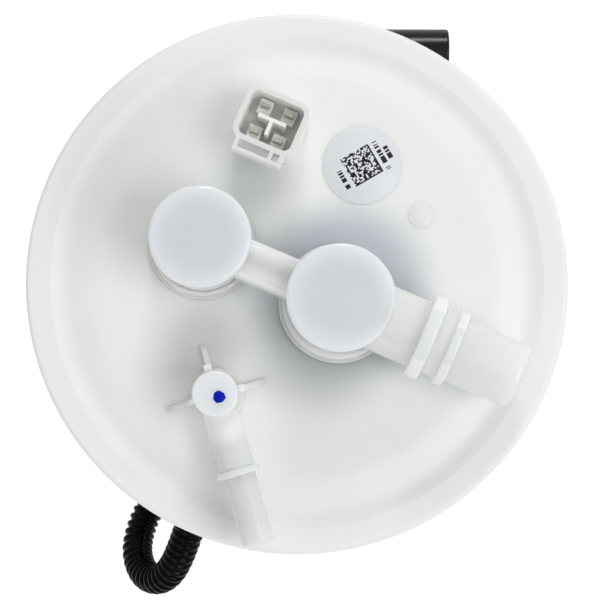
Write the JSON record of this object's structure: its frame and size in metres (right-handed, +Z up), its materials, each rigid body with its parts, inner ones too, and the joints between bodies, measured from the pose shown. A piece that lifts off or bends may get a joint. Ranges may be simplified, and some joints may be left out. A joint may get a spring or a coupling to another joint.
{
  "type": "fuel pump module",
  "caption": "Round tank flange with vent and feed spigots and a plug socket over a sprung reservoir that holds a motor pump, ring filter, regulator and a swinging float level sender.",
  "frame": {"origin": "on the flange's axis, at the underside of its rim, which sits on the tank's opening", "axes": "+Z up out of the tank, +X along the vent spigot, +Y towards the plug socket's side"},
  "size_m": [0.1326, 0.2044, 0.2109],
  "materials": {
    "white_nylon": "moulded natural white acetal, faint satin sheen",
    "cap_nylon": "cool white moulded plastic, faint translucency",
    "plug_plastic": "warm pale grey moulded plastic",
    "cup_nylon": "moulded natural white acetal",
    "case_nylon": "black moulded nylon",
    "seal_rubber": "soft fuel-proof rubber",
    "hose_nylon": "black corrugated nylon tube",
    "float_foam": "black closed-cell float, glossy skin",
    "bright_steel": "drawn bright steel",
    "spring_steel": "spring steel wire",
    "zinc_steel": "zinc plated steel",
    "tinned_brass": "tinned contact blades",
    "copper": "copper segments and windings",
    "carbon": "pressed carbon",
    "magnet": "sintered ferrite",
    "filter_paper": "pleated resin paper",
    "strainer_cloth": "woven nylon mesh",
    "sender_nylon": "black moulded housing",
    "ceramic": "ceramic resistor card",
    "valve_nylon": "moulded valve body",
    "soft_rubber": "soft damping rubber"
  },
  "bodies": {
    "flange_unit": {"flange": "white_nylon", "tank_seal": "seal_rubber", "vent_manifold": "cap_nylon", "feed_elbow": "white_nylon", "plug_socket": "plug_plastic", "plug_blades": "tinned_brass", "guide_rod_right": "bright_steel", "guide_rod_left": "bright_steel", "rod_clips": "zinc_steel", "guide_spring_right": "spring_steel", "guide_spring_left": "spring_steel", "fill_valve_housing": "valve_nylon", "fill_valve_cap": "valve_nylon", "fill_valve_spring": "spring_steel", "roll_valve_housing": "valve_nylon", "roll_valve_cap": "valve_nylon", "roll_valve_spring": "spring_steel", "feed_hose": "hose_nylon"},
    "fill_float": {"fill_valve_float": "case_nylon", "fill_valve_seal": "soft_rubber"},
    "roll_float": {"roll_valve_float": "case_nylon", "roll_valve_seal": "soft_rubber"},
    "reservoir": {"reservoir_cup": "cup_nylon", "filter_case": "case_nylon", "filter_element": "filter_paper", "filter_cover": "case_nylon", "pump_plug": "plug_plastic", "pump_can": "zinc_steel", "pump_inlet_cover": "case_nylon", "pump_middle_plate": "case_nylon", "pump_magnets": "magnet", "pump_outlet_cap": "case_nylon", "pump_brushes": "carbon", "pump_cushion": "soft_rubber", "pump_sleeve": "soft_rubber", "inlet_strainer": "strainer_cloth", "strainer_neck": "case_nylon", "pressure_regulator": "zinc_steel", "regulator_clip": "spring_steel", "regulator_seal": "seal_rubber", "jet_pump": "case_nylon", "foot_valve_cage": "case_nylon", "sender_housing": "sender_nylon", "sender_card": "ceramic"},
    "pump_rotor": {"pump_shaft": "bright_steel", "pump_impeller": "carbon", "pump_armature": "magnet", "pump_commutator": "copper"},
    "foot_disc": {"foot_valve_disc": "soft_rubber"},
    "sender_arm": {"sender_hub": "sender_nylon", "sender_wire": "bright_steel", "sender_wiper": "tinned_brass", "sender_float": "float_foam"}
  },
  "joints": [
    {"name": "fill_lift", "type": "slide", "parent": "flange_unit", "child": "fill_float", "axis": [0, 0, 1], "range_m": [0, 0.004], "deforming": ["fill_valve_spring"]},
    {"name": "roll_lift", "type": "slide", "parent": "flange_unit", "child": "roll_float", "axis": [0, 0, 1], "range_m": [0, 0.004], "deforming": ["roll_valve_spring"]},
    {"name": "reservoir_slide", "type": "slide", "parent": "flange_unit", "child": "reservoir", "axis": [0, 0, 1], "range_m": [0, 0.025], "stiffness_N_per_m": 900, "springref_m": -0.03, "deforming": ["guide_spring_right", "guide_spring_left", "feed_hose"]},
    {"name": "pump_spin", "type": "hinge", "parent": "reservoir", "child": "pump_rotor", "pos_m": [0, 0, -0.12], "axis": [0, 0, 1], "continuous": true},
    {"name": "foot_disc_lift", "type": "slide", "parent": "reservoir", "child": "foot_disc", "axis": [0, 0, 1], "range_m": [0, 0.0015]},
    {"name": "sender_swing", "type": "hinge", "parent": "reservoir", "child": "sender_arm", "pos_m": [-0.02452, 0.05694, -0.112], "axis": [0.9184, 0.3955, 0], "range_deg": [0, 110]}
  ]
}
